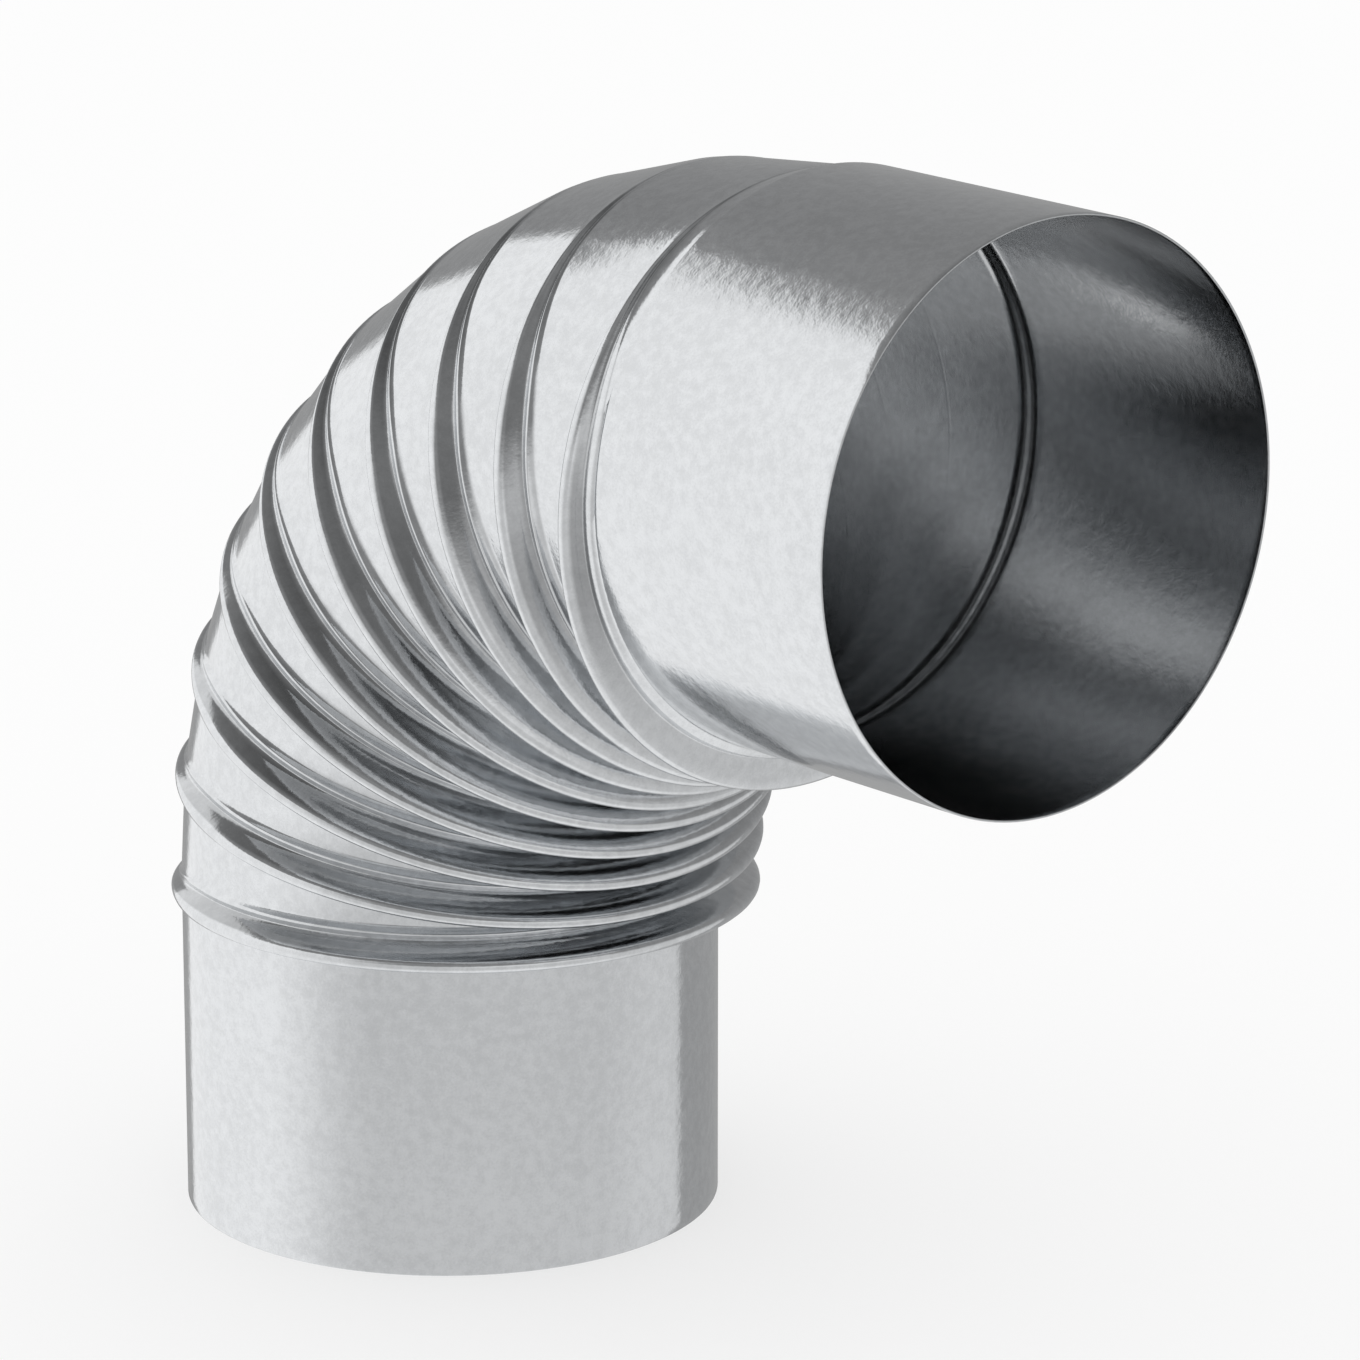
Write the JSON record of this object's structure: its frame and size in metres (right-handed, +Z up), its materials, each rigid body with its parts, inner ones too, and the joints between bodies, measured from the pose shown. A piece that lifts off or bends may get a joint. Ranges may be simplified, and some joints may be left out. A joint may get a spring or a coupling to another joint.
{
  "type": "duct elbow",
  "caption": "Quarter-turn elbow of folded galvanised sheet, with a plain spigot at one end, a plain socket at the other and pleats round the inside of its bend.",
  "frame": {"origin": "centre of the spigot's rim", "axes": "+Z up the spigot into the elbow, +X out of the socket's mouth"},
  "size_m": [0.2494, 0.13, 0.2509],
  "materials": {
    "galvanised_sheet": "hot-dip galvanised, fine matt spangle"
  },
  "bodies": {
    "root": {"pleated_elbow": "galvanised_sheet"}
  },
  "joints": []
}
